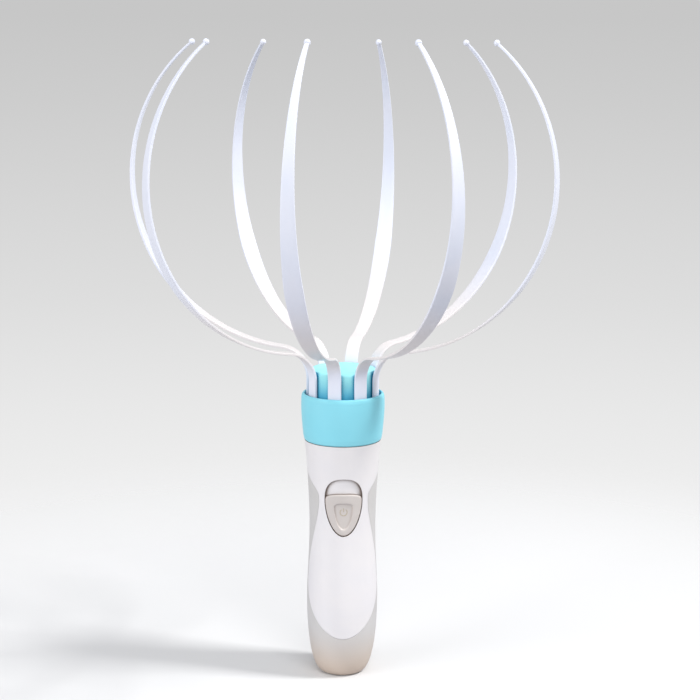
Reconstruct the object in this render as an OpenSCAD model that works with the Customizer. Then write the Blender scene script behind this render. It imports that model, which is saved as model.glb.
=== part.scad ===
// Electric scalp massager: a battery handle, a blue collar and eight spring claws.
// The origin is the centre of the flat base, +Z runs up to the claw tips and the
// power button faces -Y. All sizes are in millimetres.

/* [Handle] */
// Height of the two handle shells
handle_h = 104.5; // [103:0.5:107]
// Diameter of the flat face that the handle stands on
base_d = 15; // [13:0.5:17]
// Diameter of the belly
belly_d = 30.8; // [30.4:0.1:33]
// Height of the belly
belly_z = 33; // [30:1:36]
// Diameter of the waist
waist_d = 28.6; // [28.4:0.1:30]
// Height of the waist
waist_z = 66; // [63:1:69]
// Diameter of the handle under the collar
top_d = 32.9; // [32.5:0.1:34]
// Wall of both shells
wall = 2; // [1.8:0.05:2.2]
// Thickness of the floor
floor_t = 2.6; // [2:0.1:3]

/* [Parting line] */
// Lowest point of the white front shell
tongue_z = 18; // [15:0.5:21]
// Depth of the parting line at the belly
belly_part_y = -2.5; // [-4:0.5:-1]
// Depth of the parting line beside the button
waist_part_y = -10.3; // [-11:0.1:-9]
// Height where the grey shell reaches furthest forward
waist_part_z = 82; // [79:1:84]
// Depth of the parting line under the collar
top_part_y = 2; // [1:0.5:3]
// Gap between the two shells along the parting line
seam = 0.1; // [0.06:0.02:0.16]

/* [Power button] */
// Width of the button pocket
button_w = 16.2; // [14:0.1:17]
// Lowest point of the button pocket
button_low_z = 64.6; // [64:0.1:66]
// Height where the pocket is widest
button_mid_z = 80.5; // [79:0.5:82]
// Top of the button
button_top_z = 83.4; // [83:0.1:84.5]
// Top of the thumb scoop above the button
scoop_top_z = 90.2; // [88:0.1:91]
// Depth of the thumb scoop
scoop_t = 1.1; // [0.8:0.05:1.2]
// Gap round the button
button_gap = 0.3; // [0.2:0.05:0.4]
// Travel of the button
button_travel = 0.5; // [0.3:0.05:0.5]

/* [Collar and hub] */
// Outer diameter of the collar at its rim
collar_d = 35.6; // [35.4:0.1:37]
// Height of the collar
collar_h = 20.5; // [19:0.5:23]
// Wall of the collar at the seat of the hub
collar_wall = 1; // [0.9:0.05:1.1]
// Diameter of the hub between the claws
hub_d = 28.4; // [27.6:0.1:28.6]
// Height of the hub above the collar's rim
hub_rise = 10.5; // [9:0.1:13]

/* [Claws] */
// Angle of the first claw from the front
claw_start = -15; // [-20:1:-10]
// Radius of the ring of claw legs
leg_r = 15; // [14.95:0.01:15.05]
// Radius of the bend above the hub
bend_r = 13; // [9:0.5:16]
// Radius of the main arc of a claw
arc_r = 72.5; // [68:0.5:76]
// Widest diameter of the cage, to the middle of the straps
cage_d = 182; // [174:1:190]
// Height of the widest point
cage_z = 216.3; // [210:0.1:222]
// Angle of the main arc at which a claw ends
tip_angle = 51; // [44:1:56]
// Width of a claw at its leg
leg_w = 5.7; // [5:0.1:6]
// Greatest width of a claw
wide_w = 7.7; // [7:0.1:8.4]
// Share of the main arc below the widest point
wide_at = 0.4; // [0.3:0.01:0.5]
// Width of a claw behind its ball
tip_w = 1.7; // [1.4:0.1:2]
// Thickness of the spring strap
strap_t = 1.1; // [0.9:0.05:1.15]
// Diameter of the ball tip
ball_d = 2.7; // [2.4:0.1:3.2]
// Angle that a claw can rock outwards before it meets the collar
claw_swing = 3; // [1:0.5:3.5]

/* [Battery] */
// Diameter of the AA cell
cell_d = 14.5; // [13.8:0.1:14.6]
// Length of the AA cell with its nub
cell_l = 50.5; // [49:0.1:50.7]
// Height of the pressed contact spring
spring_h = 6; // [5.5:0.1:6.2]
// Wire of the contact spring
spring_wire = 0.8; // [0.6:0.05:0.9]
// Thickness of the contact plates
contact_t = 0.4; // [0.3:0.05:0.5]
// Thickness of the battery door
door_t = 1.2; // [1:0.05:1.3]
// Gap round the battery door
door_gap = 0.2; // [0.15:0.05:0.3]

/* [Drive] */
// Diameter of the vibration motor
motor_d = 12; // [11:0.1:12]
// Length of the motor's can
motor_l = 15; // [14:0.5:16]
// Wall of the rubber sleeve
sleeve_t = 0.95; // [0.8:0.05:1]
// Diameter of the motor shaft
shaft_d = 1.5; // [1.2:0.1:2]
// Radius of the eccentric weight
weight_r = 5.2; // [4:0.1:5.5]
// Length of the eccentric weight
weight_l = 6.2; // [4:0.1:6.4]

/* [Circuit board] */
// Width of the board
board_w = 11.6; // [10:0.2:11.8]
// Thickness of the board
board_t = 1.2; // [1:0.1:1.6]
// Side of the push switch
switch_w = 6; // [5:0.1:6.2]

/* [Hidden] */

$fn = 96;
claw_n = 8;           // one node of its own for each claw
fit = 0.05;           // radial play of a pin or shaft in its bore
play = 0.2;           // gap between pieces that are put together by hand
eps = 0.01;           // keeps two cuts from sharing a face
far = 60;             // longer than anything inside the handle

white = [0.93, 0.93, 0.94];
grey = [0.78, 0.76, 0.73];
blue = [0.58, 0.87, 0.93];
steel = [0.75, 0.76, 0.78];

// Faces of a sweep with n + 1 rings of m points: two ends and a skin of triangles.
function swept_faces(n, m) = concat(
    [[for (j = [0:m - 1]) j]],
    [for (i = [0:n - 1], j = [0:m - 1]) [i * m + j, (i + 1) * m + j, i * m + (j + 1) % m]],
    [for (i = [0:n - 1], j = [0:m - 1])
        [(i + 1) * m + j, (i + 1) * m + (j + 1) % m, i * m + (j + 1) % m]],
    [[for (j = [m - 1:-1:0]) n * m + j]]);

// ---------- outline of the handle ----------

base_r = base_d / 2;
belly_r = belly_d / 2;
waist_r = waist_d / 2;
top_r = top_d / 2;
base_round = 0.77;    // how full the lower corner is
flare_power = 1.75;   // how late the handle flares out to the collar

function mix(a, b, t) = a + (b - a) * t;
function ease(t) = t * t * (3 - 2 * t);

function handle_r(z) =
    z <= belly_z
        ? base_r + (belly_r - base_r) * pow(sqrt(max(0, 1 - pow(1 - z / belly_z, 2))), base_round)
    : z <= waist_z
        ? mix(belly_r, waist_r, ease((z - belly_z) / (waist_z - belly_z)))
    : waist_r + (top_r - waist_r) * pow((z - waist_z) / (handle_h - waist_z), flare_power);

handle_z = concat(
    [for (i = [0:15]) belly_z * (1 - cos(6 * i))],
    [for (i = [0:9]) mix(belly_z, waist_z, i / 10)],
    [for (i = [0:12]) mix(waist_z, handle_h, i / 12)]);

// Solid of revolution that lies `inset` inside the handle's outer face.
module handle_form(inset = 0, low = 0, high = handle_h) {
    zs = concat([low], [for (z = handle_z) if (z > low + eps && z < high - eps) z], [high]);
    rotate_extrude() polygon(concat(
        [[0, low]],
        [for (z = zs) [handle_r(min(z, handle_h)) - inset, z]],
        [[0, high]]));
}

// Everything outside a surface that lies `inset` inside the handle's outer face.
module outside_form(inset) {
    difference() {
        cylinder(r = far / 2, h = handle_h - 2 * eps);
        translate([0, 0, -eps]) handle_form(inset, eps, handle_h);
    }
}

// ---------- parting line ----------

tongue_slope = 0.6;   // how steeply the line leaves the tip of the tongue
tongue_y = -belly_r + 0.2;
top_part_drop = 8;    // straight end of the line under the collar
top_part_z = handle_h - top_part_drop;
part_rise = 11;       // height of the line's middle above the belly
part_steps = 14;

function tongue_y_at(t) =
    mix(tongue_y, belly_part_y, ease(t))
        + tongue_slope * (button_waist_z - tongue_z) * t * pow(1 - t, 2);
button_waist_z = belly_z + part_rise;

part_line = concat(
    [for (i = [0:part_steps]) let (t = i / part_steps)
        [tongue_y_at(t), mix(tongue_z, button_waist_z, t)]],
    [for (i = [1:part_steps]) let (t = i / part_steps)
        [mix(belly_part_y, waist_part_y, ease(t)), mix(button_waist_z, waist_part_z, t)]],
    [for (i = [1:part_steps]) let (t = i / part_steps)
        [mix(waist_part_y, top_part_y, ease(t)), mix(waist_part_z, top_part_z, t)]],
    [[top_part_y, handle_h + 5]]);

// Extrudes an outline in the Y-Z plane to both sides of the handle.
module across() {
    rotate([90, 0, 90]) linear_extrude(height = far, center = true) children();
}

module front_space() {
    across() polygon(concat(
        [[-far, tongue_z]],
        [for (p = part_line) p - [seam / 2, 0]],
        [[-far, handle_h + 5]]));
}

module rear_space() {
    across() polygon(concat(
        [[-far, -1], [-far, tongue_z - seam]],
        [[part_line[0][0], tongue_z - seam]],
        [for (p = part_line) p + [seam / 2, 0]],
        [[far, handle_h + 5], [far, -1]]));
}

// ---------- button outline ----------

button_steps = 22;
pocket_power = 2.6;   // how square the top of the outline is

// Outline in the X-Z plane: a superellipse above the widest point, a shield below it.
function shield(grow, top) = concat(
    [for (i = [0:button_steps]) let (a = 180 * i / button_steps,
            c = cos(a), s = sin(a), e = 2 / pocket_power)
        [sign(c) * (button_w / 2 + grow) * pow(abs(c), e),
            button_mid_z + (top - button_mid_z + grow) * pow(max(s, 0), e)]],
    [for (i = [1:button_steps - 1]) let (t = sin(180 * i / button_steps),
            side = i <= button_steps / 2 ? -1 : 1)
        [side * (button_w / 2 + grow) * sqrt(max(0, 1 - pow(t, 1.8))),
            button_mid_z - (button_mid_z - button_low_z + grow) * t]]);

module shield_prism(grow, top) {
    rotate([90, 0, 0]) linear_extrude(height = far / 2) polygon(shield(grow, top));
}

// ---------- inside of the handle ----------

// Neck of the collar, whose lip snaps under a ring in the shells.
neck_r = 12.5;
neck_ring_t = 2.2;
neck_ring_drop = 1.6; // of the ring's top under the edge of the shells
neck_ring_z = handle_h - neck_ring_t - neck_ring_drop;
neck_lip_t = 2.2;
neck_lip_w = 0.9;
neck_low = neck_ring_z - play - neck_lip_t;
hub_screw_head_t = 2;

cell_r = cell_d / 2;
cell_low = floor_t + contact_t + spring_h;
cell_top = cell_low + cell_l;
bulkhead_z = cell_top + contact_t;
bulkhead_t = 1.5;
rib_t = 1.5;
cell_play = 0.3;

board_front = -(waist_r - wall) + 3.5;   // face that carries the switch
board_back = board_front + board_t;
board_low = bulkhead_z + bulkhead_t + 0.3;
board_high = (button_top_z + neck_low) / 2;
post_r = 1.3;
post_x = 4.2;
post_in = 1.55;       // from the ends of the board to its pins
pin_r = 0.65;
posts = [[-post_x, board_low + post_in], [post_x, board_low + post_in], [0, board_high - post_in]];

switch_z = (button_low_z + button_top_z) / 2;
switch_t = 1.5;
plunger_r = 1.5;
plunger_front = board_front - switch_t - 0.6;

motor_r = motor_d / 2;
sleeve_r = motor_r + fit + sleeve_t;
pad_t = 0.6;
motor_y = board_back + pad_t + sleeve_r;
end_cap_t = 1.3;
weight_gap = 2;
shaft_over = 1.2;     // what the shaft stands out of the weight

// The motor sits halfway between the cell's bulkhead and the head of the hub screw.
motor_room = [bulkhead_z + bulkhead_t, handle_h - hub_screw_head_t];
motor_unit_l = rib_t + end_cap_t + motor_l + weight_gap + weight_l + shaft_over;
motor_low = (motor_room[0] + motor_room[1] - motor_unit_l) / 2 + rib_t + end_cap_t;
motor_top = motor_low + motor_l;
stop_z = motor_low - end_cap_t;
motor_rib_y = board_back + 1.4;  // leaves room for the flange of the button

// Heights of the ribs that carry the cell and the motor.
front_ribs = [cell_low + 0.42 * cell_l, cell_low + 0.85 * cell_l];
foot_rib = cell_low + 3;
motor_ribs = [motor_low + 4, motor_top - 4];

boss_x = 9.8;
boss_r = 2.9;
boss_gap = 0.4;       // between the bosses and the lip of the neck
boss_z = neck_low - boss_gap - boss_r;
screw_r = 1.1;
screw_head_r = 1.9;
screw_head_t = 1.6;
screw_seat_y = 6;
screw_l = 12;
pilot_over = 1.5;     // what the pilot hole is deeper than the screw
peg_x = 10.2;
peg_z = button_waist_z;
peg_r = 1;
peg_boss_r = 1.8;

module y_cylinder(r, y0, y1, x, z) {
    translate([x, y0, z]) rotate([-90, 0, 0]) cylinder(r = r, h = y1 - y0);
}

// Flat rib across the handle with a U-shaped seat of radius r at depth y.
module seat_rib(z, r, y, open) {
    difference() {
        translate([0, 0, z]) handle_form_slice(z);
        translate([0, y, z - 1]) cylinder(r = r, h = rib_t + 2);
        translate([-r, open < 0 ? -far : y, z - 1]) cube([2 * r, open < 0 ? far + y : far, rib_t + 2]);
    }
}

module handle_form_slice(z) {
    cylinder(r = min(handle_r(z), handle_r(z + rib_t)) - wall / 2, h = rib_t);
}

// ---------- shells ----------

module shell_walls() {
    difference() {
        handle_form();
        handle_form(wall, floor_t, handle_h + eps);
    }
    difference() {
        translate([0, 0, neck_ring_z]) cylinder(r = handle_r(neck_ring_z) - wall / 2, h = neck_ring_t);
        translate([0, 0, neck_ring_z - 1]) cylinder(r = neck_r + play, h = neck_ring_t + 2);
    }
}

module bosses_inside(inset) {
    intersection() {
        handle_form(inset);
        union() {
            for (s = [-1, 1]) {
                y_cylinder(boss_r, -far / 2, far / 2, s * boss_x, boss_z);
                y_cylinder(peg_boss_r, -far / 2, far / 2, s * peg_x, peg_z);
            }
        }
    }
}

lead_x = -4.6;
lead_y = -8.4;
lead_r = 0.6;
lead_play = 0.4;
lead_rise = 2.8;      // of the lead's foot above the floor
lead_low = floor_t + lead_rise;
pin_over = 0.3;       // what a pin stands out of the board
peg_l = 2;
peg_root = 1;

module front_shell() color(white) {
    difference() {
        union() {
            intersection() {
                union() {
                    shell_walls();
                    bosses_inside(wall / 2);
                    for (z = front_ribs) seat_rib(z, cell_r + cell_play, 0, 1);
                }
                front_space();
            }
            for (p = posts) {
                intersection() {
                    y_cylinder(post_r, -far / 2, board_front, p[0], p[1]);
                    handle_form(wall / 2);
                }
                y_cylinder(pin_r, board_front - 1, board_back + pin_over, p[0], p[1]);
            }
            for (s = [-1, 1])
                y_cylinder(peg_r, belly_part_y - peg_root, belly_part_y + peg_l, s * peg_x, peg_z);
        }
        intersection() {
            shield_prism(0, scoop_top_z);
            outside_form(scoop_t);
        }
        shield_prism(0, button_top_z);
        for (s = [-1, 1])
            y_cylinder(screw_r + fit, screw_seat_y - screw_l - pilot_over, far, s * boss_x, boss_z);
        translate([lead_x, lead_y, tongue_z]) cylinder(r = lead_r + lead_play, h = far);
    }
}

door_over = 1.1;      // of the door past the cell on each side
door_w = cell_d + 2 * door_over;
door_foot = 2.6;      // of the door below the cell
door_low = cell_low - door_foot;
door_head = 1.2;      // of the door above the bulkhead's underside
door_high = bulkhead_z + door_head;
door_round = 3;
ledge_w = 1;
rim_w = 1;
bulkhead_slot = 4;    // width of the slot for the contact's tab

module rounded_rect(w, z0, z1, r) {
    translate([-w / 2 + r, z0]) square([w - 2 * r, z1 - z0]);
    translate([-w / 2, z0 + r]) square([w, z1 - z0 - 2 * r]);
    for (x = [-w / 2 + r, w / 2 - r], z = [z0 + r, z1 - r]) translate([x, z]) circle(r = r);
}

module door_prism(inset) {
    rotate([90, 0, 0]) translate([0, 0, -far / 2]) linear_extrude(height = far / 2)
        rounded_rect(door_w - 2 * inset, door_low + inset, door_high - inset,
            door_round - min(inset, 2));
}

module rear_shell() color(grey) {
    difference() {
        intersection() {
            union() {
                shell_walls();
                bosses_inside(wall / 2);
                difference() {
                    translate([0, 0, bulkhead_z]) handle_form_slice(bulkhead_z);
                    translate([-far / 2, -far, bulkhead_z - 1]) cube([far, far + board_front, rib_t + 2]);
                    translate([-bulkhead_slot / 2, board_front - 1, bulkhead_z - 1])
                        cube([bulkhead_slot, board_t + 2 * contact_t + 1, rib_t + 2]);
                }
                seat_rib(foot_rib, cell_r + cell_play, 0, 1);
                difference() {
                    union() {
                        seat_rib(stop_z - rib_t, motor_r - 1.2, motor_y, -1);
                        for (z = motor_ribs) seat_rib(z, sleeve_r + fit, motor_y, -1);
                    }
                    translate([-far / 2, motor_rib_y - far, 0]) cube([far, far, handle_h]);
                }
            }
            rear_space();
        }
        intersection() {
            shield_prism(0, button_top_z);
            outside_form(wall + flange_play);
        }
        intersection() {
            door_prism(0);
            outside_form(door_t + door_gap);
        }
        door_prism(ledge_w);
        for (s = [-1, 1]) {
            y_cylinder(screw_r + 0.1, -far / 2, far / 2, s * boss_x, boss_z);
            y_cylinder(screw_head_r + 0.1, screw_seat_y, far / 2, s * boss_x, boss_z);
            y_cylinder(peg_r + fit, -far / 2, belly_part_y + 3, s * peg_x, peg_z);
        }
        translate([lead_x, lead_y, floor_t]) cylinder(r = lead_r + lead_play, h = far);
    }
}

groove_n = 3;
groove_r = 0.8;
groove_w = 8;
groove_pitch = 2;
groove_drop = 4;      // of the first groove under the top of the door
groove_out = 0.35;    // of its axis outside the door

module battery_door() color(grey) {
    difference() {
        union() {
            intersection() {
                door_prism(door_gap);
                difference() {
                    handle_form();
                    handle_form(door_t, eps, handle_h);
                }
            }
            intersection() {
                difference() {
                    door_prism(ledge_w + door_gap);
                    door_prism(ledge_w + door_gap + rim_w);
                }
                difference() {
                    handle_form(door_t - 0.2, eps, handle_h);
                    handle_form(wall + 0.6, eps, handle_h);
                }
            }
        }
        // Grooves for the thumb at the top of the door.
        for (i = [0:groove_n - 1])
            translate([0, handle_r(door_high) + groove_out, door_high - groove_drop - groove_pitch * i])
                rotate([0, 90, 0]) cylinder(r = groove_r, h = groove_w, center = true);
    }
}

// ---------- button and switch ----------

flange_t = 0.8;
flange_w = 1;
flange_play = 0.15;
face_sink = 0.1;
dish_share = 0.52;    // size of the pressed shield against the button
dish_z = switch_z - 0.6;
dish_t = 0.35;

module dish_prism() {
    rotate([90, 0, 0]) linear_extrude(height = far / 2) polygon(
        [for (p = shield(0, button_top_z))
            [dish_share * p[0], dish_z + dish_share * (p[1] - switch_z)]]);
}

module power_button() color(white) {
    back = wall + flange_play + flange_t;
    difference() {
        union() {
            intersection() {
                shield_prism(-button_gap, button_top_z);
                difference() {
                    handle_form(face_sink, eps, handle_h);
                    handle_form(back, 2 * eps, handle_h);
                }
            }
            difference() {
                intersection() {
                    shield_prism(flange_w, button_top_z);
                    handle_form(wall + flange_play, eps, handle_h);
                }
                handle_form(back, 2 * eps, handle_h);
                // Where a post or boss comes near, the flange makes way.
                for (p = posts) y_cylinder(post_r + play, -far / 2, 0, p[0], p[1]);
                for (s = [-1, 1]) y_cylinder(boss_r + play, -far / 2, 0, s * boss_x, boss_z);
            }
            y_cylinder(plunger_r - 0.1, -(waist_r - back) - 0.6, plunger_front, 0, switch_z);
        }
        // Shallow shield pressed into the middle of the button.
        intersection() {
            dish_prism();
            outside_form(face_sink + dish_t);
        }
    }
}

module push_switch() color([0.2, 0.2, 0.22]) {
    difference() {
        translate([-switch_w / 2, board_front - switch_t, switch_z - switch_w / 2])
            cube([switch_w, switch_t, switch_w]);
        y_cylinder(plunger_r + fit, plunger_front - 1, board_front - 0.1, 0, switch_z);
    }
}

module switch_plunger() color([0.75, 0.7, 0.6]) {
    y_cylinder(plunger_r, plunger_front, board_front - 0.1 - button_travel - 0.05, 0, switch_z);
}

module circuit_board() color([0.1, 0.4, 0.22]) {
    difference() {
        translate([-board_w / 2, board_front, board_low])
            cube([board_w, board_t, board_high - board_low]);
        for (p = posts) y_cylinder(pin_r + fit, board_front - 1, board_back + 1, p[0], p[1]);
    }
}

// The chip and its neighbours lie between the lower pins and the switch.
parts_z = (board_low + post_in + post_r + switch_z - switch_w / 2) / 2;
chip = [4.4, 1.2, 3.6];
small_part = [1.2, 0.9, 2.8];
small_part_x = 3.4;

module on_board(size, x) {
    translate([x - size[0] / 2, board_front - size[1], parts_z - size[2] / 2]) cube(size);
}

module board_parts() color([0.15, 0.15, 0.17]) {
    on_board(chip, 0);
    for (s = [-1, 1]) on_board(small_part, s * small_part_x);
}

// ---------- motor ----------

weight_low = motor_top + weight_gap;
shaft_low = motor_low + 1.2;

module at_motor() {
    translate([0, motor_y, 0]) children();
}

module motor_can() color(steel) at_motor() {
    difference() {
        union() {
            translate([0, 0, motor_low]) cylinder(r = motor_r, h = motor_l);
            translate([0, 0, motor_top - eps]) cylinder(r = 2, h = 1 + eps);
        }
        translate([0, 0, motor_low + 1]) cylinder(d = shaft_d + 2 * fit, h = motor_l + 2);
    }
}

terminal_x = 2.5;
terminal_t = 0.4;
terminal_h = 1.6;

module motor_end_cap() color([0.9, 0.9, 0.88]) at_motor() {
    translate([0, 0, stop_z]) cylinder(r = motor_r - 0.3, h = end_cap_t);
    for (s = [-1, 1])
        translate([s * terminal_x - 0.5, -terminal_t / 2, stop_z - terminal_h])
            cube([1, terminal_t, terminal_h + 0.4]);
}

module motor_shaft() color(steel) at_motor() {
    translate([0, 0, shaft_low])
        cylinder(d = shaft_d, h = weight_low + weight_l + shaft_over - shaft_low);
}

module eccentric_weight() color([0.6, 0.55, 0.4]) at_motor() {
    difference() {
        union() {
            intersection() {
                translate([0, 0, weight_low]) cylinder(r = weight_r, h = weight_l);
                translate([-far / 2, -far, weight_low - 1]) cube([far, far, weight_l + 2]);
            }
            translate([0, 0, weight_low]) cylinder(r = shaft_d / 2 + 1, h = weight_l);
        }
        translate([0, 0, weight_low - 1]) cylinder(d = shaft_d + 0.04, h = weight_l + 2);
    }
}

module motor_sleeve() color([0.25, 0.25, 0.27]) at_motor() {
    difference() {
        translate([0, 0, motor_low + 0.5]) cylinder(r = sleeve_r, h = motor_l - 1);
        translate([0, 0, motor_low]) cylinder(r = motor_r + fit, h = motor_l);
    }
}

pad_w = 6;
pad_l = 9;
pad_play = 0.02;      // keeps the flat pad just off the round sleeve

module foam_pad() color([0.35, 0.35, 0.36]) {
    translate([-pad_w / 2, board_back, motor_low + (motor_l - pad_l) / 2])
        cube([pad_w, pad_t - pad_play, pad_l]);
}

// Two short leads from the board to the terminals of the motor.
module motor_leads() color([0.75, 0.15, 0.12]) {
    for (s = [-1, 1])
        y_cylinder(lead_r, board_back, motor_y - terminal_t / 2, s * terminal_x, stop_z - terminal_h / 2);
}

// ---------- battery ----------

nub_r = 2.75;
nub_h = 1;

module battery_cell() color([0.3, 0.32, 0.36]) {
    translate([0, 0, cell_low]) cylinder(r = cell_r, h = cell_l - nub_h);
    translate([0, 0, cell_top - nub_h - eps]) cylinder(r = nub_r, h = nub_h + eps);
}

spring_turns = 4;
spring_steps = 12;
spring_sides = 6;
spring_low_r = 4.2;
spring_top_r = 2.6;

// Conical contact spring, swept as one tube of spring_sides sides.
module battery_spring() color(steel) {
    wr = spring_wire / 2;
    n = spring_turns * spring_steps;
    low = floor_t + contact_t + wr;
    rise = spring_h - spring_wire;
    pts = [for (i = [0:n], j = [0:spring_sides - 1]) let (
            a = 360 * i / spring_steps,
            b = 360 * j / spring_sides,
            r = mix(spring_low_r, spring_top_r, i / n) + wr * cos(b),
            z = low + rise * i / n + wr * sin(b))
        [r * cos(a), r * sin(a), z]];
    polyhedron(pts, [for (f = swept_faces(n, spring_sides)) reversed(f)], convexity = 10);
}

function reversed(list) = [for (i = [len(list) - 1:-1:0]) list[i]];

plate_w = 10;
plate_front = -6;
plate_back = 5;
tab_w = 2;
tab_x = lead_x - 0.4;
tab_over = 0.4;       // what the tab reaches past the middle of the lead

// Plate under the spring, with a tab that rises to the lead.
module negative_contact() color(steel) {
    translate([-plate_w / 2, plate_front, floor_t])
        cube([plate_w, plate_back - plate_front, contact_t]);
    translate([tab_x, plate_front, floor_t]) cube([tab_w, contact_t, lead_low - floor_t]);
    translate([tab_x, lead_y - tab_over, lead_low - contact_t])
        cube([tab_w, plate_front + contact_t / 2 - lead_y + tab_over, contact_t]);
}

top_plate_w = 8;
top_plate_back = 4;
top_tab = [3, 5];     // width and height of the tab on the board

module positive_contact() color(steel) {
    translate([-top_plate_w / 2, board_back, cell_top])
        cube([top_plate_w, top_plate_back - board_back, contact_t]);
    translate([-top_tab[0] / 2, board_back, cell_top]) cube([top_tab[0], contact_t, top_tab[1]]);
}

module battery_lead() color([0.1, 0.1, 0.11]) {
    translate([lead_x, lead_y, lead_low]) cylinder(r = lead_r, h = board_low - lead_low);
}

// ---------- collar and hub ----------

collar_low = handle_h;
rim_z = collar_low + collar_h;
rim_r = collar_d / 2;
collar_floor_t = 3;
pivot_rise = 7;
pivot_z = collar_low + pivot_rise;
eye_r = 0.9;
hub_low = collar_low + collar_floor_t;
hub_top = rim_z + hub_rise;
hub_r = hub_d / 2;
flange_top = pivot_z + 3;
collar_foot_r = top_r + 0.35;
collar_bulge = 0.2;

// Inside of the rim: a claw that rocks fully outwards just misses it.
rim_bore_r = leg_r + strap_t / 2 + (rim_z - pivot_z) * sin(claw_swing) + play;
collar_seat_r = collar_r(hub_low) - collar_wall;
flange_r = collar_seat_r - play;

function collar_r(z) = let (t = (z - collar_low) / collar_h)
    mix(collar_foot_r, rim_r + collar_bulge, sin(90 * min(1, 1.15 * t)))
        - collar_bulge * max(0, t - 0.7) / 0.3;

// The wall thins evenly from the seat of the hub to the rim.
function collar_bore_r(z) = let (t = (z - hub_low) / (rim_z - hub_low))
    collar_r(z) - mix(collar_wall, rim_r - rim_bore_r, t);

module collar() color(blue) {
    edge = 1.2;
    lip_w = 1;
    lip_h = 1.7;
    bore_edge = 0.15;
    neck_wall = 2.5;
    zs = [for (i = [1:14]) collar_low + edge + (collar_h - edge - lip_h) * i / 14];
    difference() {
        union() {
            rotate_extrude() polygon(concat(
                [[0, collar_low]],
                [for (a = [0:15:90])
                    [collar_foot_r - edge * (1 - sin(a)), collar_low + edge * (1 - cos(a))]],
                [for (z = zs) [collar_r(z), z]],
                [for (a = [15:15:90]) [rim_r - lip_w * (1 - cos(a)), rim_z - lip_h * (1 - sin(a))]],
                [[rim_bore_r + bore_edge, rim_z], [rim_bore_r, rim_z - bore_edge]],
                [for (i = [len(zs) - 1:-1:0]) if (zs[i] > hub_low) [collar_bore_r(zs[i]), zs[i]]],
                [[collar_seat_r, hub_low], [0, hub_low]]));
            // Neck and lip that snap into the ring of the shells.
            translate([0, 0, neck_low]) cylinder(r = neck_r, h = collar_low - neck_low + eps);
            translate([0, 0, neck_low]) cylinder(r = neck_r + neck_lip_w, h = neck_lip_t);
        }
        cylinder(r = neck_r - neck_wall, h = collar_low);
        cylinder(r = hub_screw_r + fit, h = far * 2);
    }
}

hub_screw_r = 1.5;
hub_screw_head_r = 3;
hub_screw_l = 10;
hub_boss_r = 3.5;
hub_wall = 2.4;
hub_edge = 1.2;
slot_t = 4;           // deep enough to open to the outside of the hub
slot_w = leg_w + 2 * play;

module claw_hub() color(blue) {
    difference() {
        union() {
            rotate_extrude() polygon(concat(
                [[0, hub_low], [flange_r, hub_low], [flange_r, flange_top - 0.5],
                    [flange_r - 0.5, flange_top], [hub_r, flange_top]],
                [for (a = [0:15:90]) [hub_r - hub_edge * (1 - cos(a)), hub_top - hub_edge * (1 - sin(a))]],
                [[0, hub_top]]));
        }
        difference() {
            translate([0, 0, hub_low - 1])
                cylinder(r = hub_r - hub_wall, h = hub_top - hub_wall - hub_low + 1);
            cylinder(r = hub_boss_r, h = hub_top);
        }
        cylinder(r = hub_screw_r + fit, h = hub_low + hub_screw_l);
        for (i = [0:claw_n - 1]) at_claw(i) {
            translate([leg_r, 0, pivot_z]) rotate([90, 0, 0])
                cylinder(r = eye_r + fit, h = slot_w, center = true);
            translate([leg_r - eye_r - fit, -slot_w / 2, pivot_z])
                cube([slot_t, slot_w, flange_top - pivot_z + 1]);
            // Behind the leg the hub makes way, should the ring of legs be tighter.
            translate([leg_r - strap_t / 2 - play, -slot_w / 2, flange_top])
                cube([slot_t, slot_w, hub_top - flange_top + 1]);
        }
    }
}

module hub_screw() color(steel) {
    translate([0, 0, collar_low - hub_screw_head_t])
        cylinder(r = hub_screw_head_r, h = hub_screw_head_t);
    translate([0, 0, collar_low - eps]) cylinder(r = hub_screw_r, h = hub_screw_l);
}

module case_screws() color(steel) {
    for (s = [-1, 1]) {
        y_cylinder(screw_head_r, screw_seat_y, screw_seat_y + screw_head_t, s * boss_x, boss_z);
        y_cylinder(screw_r, screw_seat_y - screw_l, screw_seat_y + eps, s * boss_x, boss_z);
    }
}

// ---------- claws ----------

// The claws are bent and set by hand: each stands a few degrees from its even place
// and its tip is a little to one side.
claw_turn = [-0.5, -2.5, -9, 1, 0, 0, 4.5, -0.5];
claw_aside = [1, -4, 5, 1.5, -1, 2.5, 2, 0.5];

// Each claw runs up a straight leg, round a tight bend and along one wide arc.
arc_c = [cage_d / 2 - arc_r, cage_z];
bend_c = [leg_r + bend_r,
    cage_z - sqrt(pow(arc_r + bend_r, 2) - pow(leg_r + bend_r - arc_c[0], 2))];
arc_from = atan2(bend_c[1] - arc_c[1], bend_c[0] - arc_c[0]);
bend_steps = 9;
arc_steps = 40;

function claw_w(u) = u <= wide_at
    ? mix(leg_w, wide_w, ease(u / wide_at))
    : mix(wide_w, tip_w, pow((u - wide_at) / (1 - wide_at), 0.93));

// Each station is [radius, height, slope of the strap, width, thickness].
claw_line = concat(
    [[leg_r, pivot_z, 90, leg_w, strap_t]],
    [for (i = [0:bend_steps - 1]) let (a = -arc_from * i / bend_steps)
        [bend_c[0] - bend_r * cos(a), bend_c[1] + bend_r * sin(a), 90 - a, leg_w, strap_t]],
    [for (i = [0:arc_steps]) let (u = i / arc_steps, a = mix(arc_from, tip_angle, u))
        [arc_c[0] + arc_r * cos(a), arc_c[1] + arc_r * sin(a), 90 + a, claw_w(u),
            mix(strap_t, min(strap_t, tip_w * 0.6), u)]]);

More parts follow.
